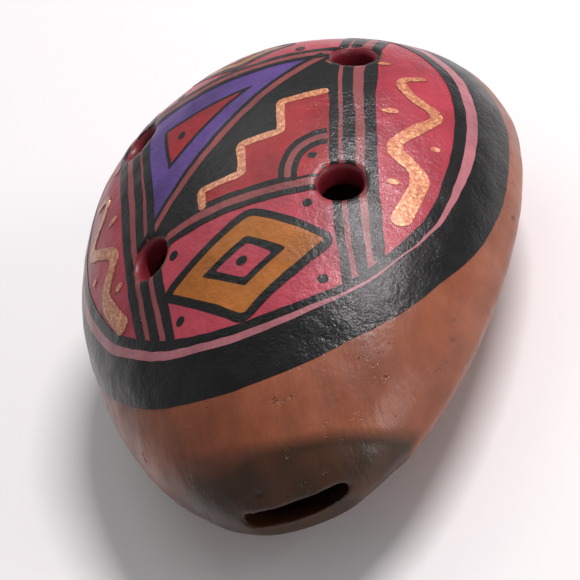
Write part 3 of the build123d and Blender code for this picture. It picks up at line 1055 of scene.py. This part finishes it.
def stepped_field():
    """Lower right of the middle panel: black field, stepped pyramid, gold edging and quarter arcs."""
    start, end = DIAGONAL
    run = (start[0] - end[0], start[1] - end[1])
    field = clip(middle_strip(NEAR_CROSS + CROSS_GAP, FAR_CROSS - CROSS_GAP), end, run)
    foot = NEAR_CROSS + CROSS_GAP
    coat("step_field_paint", BLACK, "black_paint", "black_step_field", fill(field, SECOND))
    pyramid = soften_corners([(STEPS[0][0], foot)] + STEPS[1:-1] + [(14.2, 15.9), (13.4, foot)], 0.4)
    coat("pyramid_paint", CRIMSON, "crimson_paint", "crimson_step_pyramid", fill(pyramid, THIRD))
    edging = brush(soften_corners(STEPS, 0.6, False), 1.25, GOLD_HEIGHT, relief=GOLD_RELIEF, seed=30)
    coat("step_edging_paint", GOLD, "gold_paint", "gold_step_edging", edging)
    quarters = {"black": [], "stripe": [], "fill": []}
    for n, (radius, kind) in enumerate(ARCS):
        angles = [a * math.pi / 40 for a in range(21)]
        across, along = (radius * share for share in ARC_SHAPE)
        arc = [(CORNER[0] - across * math.sin(a), CORNER[1] + along * math.cos(a)) for a in angles]
        quarters[kind].append(fill([CORNER] + arc, LINE - 0.01 + ARC_STEP * n, 0.6))
    quarters["black"].append(fill(dot(11.3, 2.7, 0.65), DOT + 0.035, 0.35, step=0.25))
    coat("corner_arcs_paint", BLACK, "black_paint", "black_corner_arcs", *quarters["black"])
    coat("corner_stripe_paint", BROWN_PINK, "brown_pink_paint", "pink_corner_arc", *quarters["stripe"])
    coat("corner_fill_paint", CRIMSON, "crimson_paint", "crimson_corner", *quarters["fill"])


rings()
side_panels()
columns()
cross_bands()
end_panels()
triangle_corner()
diagonal()
stepped_field()


# ---------------------------------------------------------------- floor, light and camera

def stage_and_light():
    """Pale floor and soft grey surroundings."""
    bm = bmesh.new()
    bmesh.ops.create_grid(bm, x_segments=1, y_segments=1, size=3.0)
    floor = from_bmesh("floor", bm)
    material, _, shader = node_material("pale_floor")
    shader.inputs["Base Color"].default_value = (0.86, 0.855, 0.85, 1)
    shader.inputs["Roughness"].default_value = 0.8
    floor.data.materials.append(material)
    world = bpy.data.worlds.new("studio")
    bpy.context.scene.world = world
    world.use_nodes = True
    background = world.node_tree.nodes["Background"]
    background.inputs["Color"].default_value = (0.95, 0.96, 1.0, 1)
    background.inputs["Strength"].default_value = 0.30


def area_light(name, place, size, power, color):
    data = bpy.data.lights.new(name, "AREA")
    data.shape = "RECTANGLE"
    data.size, data.size_y = size
    data.energy = power
    data.color = color
    light = bpy.data.objects.new(name, data)
    bpy.context.scene.collection.objects.link(light)
    light.matrix_world = place


def aimed(spot, target):
    """Placement at a spot, facing a target."""
    return Matrix.Translation(spot) @ (target - spot).to_track_quat("-Z", "Y").to_matrix().to_4x4()


AZIMUTH, ELEVATION, ROLL = (math.radians(d) for d in (18.95, 35.06, 31.99))
DISTANCE = 0.352                 # metres
FOCAL = 4.335172                 # focal length and offsets are shares of the picture's width
OFFSET = (0.020862, 0.017586)
SENSOR = 36.0


def camera_axes():
    """The camera's right, up and backward directions."""
    level = math.cos(ELEVATION)
    back = Vector((math.sin(AZIMUTH) * level, -math.cos(AZIMUTH) * level, math.sin(ELEVATION)))
    right = Vector((math.cos(AZIMUTH), math.sin(AZIMUTH), 0))
    up = back.cross(right)
    return (math.cos(ROLL) * right - math.sin(ROLL) * up, math.sin(ROLL) * right + math.cos(ROLL) * up, back)


def make_camera():
    """The camera, and where it stands."""
    right, up, back = camera_axes()
    target = Vector((0, CENTRE_Y * MM, SEAM_Z * MM))
    data = bpy.data.cameras.new("camera")
    data.sensor_width = SENSOR
    data.lens = SENSOR * FOCAL
    data.shift_x = -OFFSET[0]
    data.shift_y = OFFSET[1]
    data.clip_start = 0.01
    camera = bpy.data.objects.new("camera", data)
    bpy.context.scene.collection.objects.link(camera)
    turned = Matrix((right, up, back)).transposed().to_4x4()
    camera.matrix_world = Matrix.Translation(target + back * DISTANCE) @ turned
    bpy.context.scene.camera = camera
    return camera.matrix_world.translation.copy()


def glint_spot(eye, x, y, distance):
    """Where a light must be for the camera to see its reflection at plan point x, y, and that point."""
    on = on_dome([(x, y)])[0][0]
    spot = Vector((on.x * MM, (on.y + CENTRE_Y) * MM, (on.z + SEAM_Z) * MM))
    view = (eye - spot).normalized()
    normal = dome_normal(x, y)
    return spot + (2 * view.dot(normal) * normal - view) * distance, spot


WINDOW_AWAY = 0.8
WINDOW_WIDTH = 0.03


def window_light(eye, start, end):
    """Tall window whose reflection runs over the dome from one plan point to another."""
    first, aim = glint_spot(eye, *start, WINDOW_AWAY)
    last, _ = glint_spot(eye, *end, WINDOW_AWAY)
    middle = (first + last) / 2
    back = (middle - aim).normalized()
    along = (last - first).normalized()
    along = (along - back * along.dot(back)).normalized()
    turned = Matrix((along.cross(back), along, back)).transposed().to_4x4()
    size = (WINDOW_WIDTH, (last - first).length)
    area_light("window_light", Matrix.Translation(middle) @ turned, size, 6.0, (1.0, 0.93, 0.95))


stage_and_light()
eye = make_camera()
centre = Vector((0, 0, 0.02))
window_light(eye, (14.3, -5.0), (18.0, -20.0))
for name, spot, size, power, color in (
        ("side_light", (0.85, -0.35, 0.3), (0.25, 0.5), 3.0, (1.0, 0.94, 0.95)),
        ("top_light", (-0.2, 0.7, 0.8), (0.5, 0.25), 1.0, (0.97, 1.0, 0.93)),
        ("fill_light", (-0.5, -0.8, 0.5), (0.8, 0.8), 0.3, (0.95, 0.96, 1.0))):
    area_light(name, aimed(Vector(spot), centre), size, power, color)
bpy.context.scene.view_settings.view_transform = "Standard"
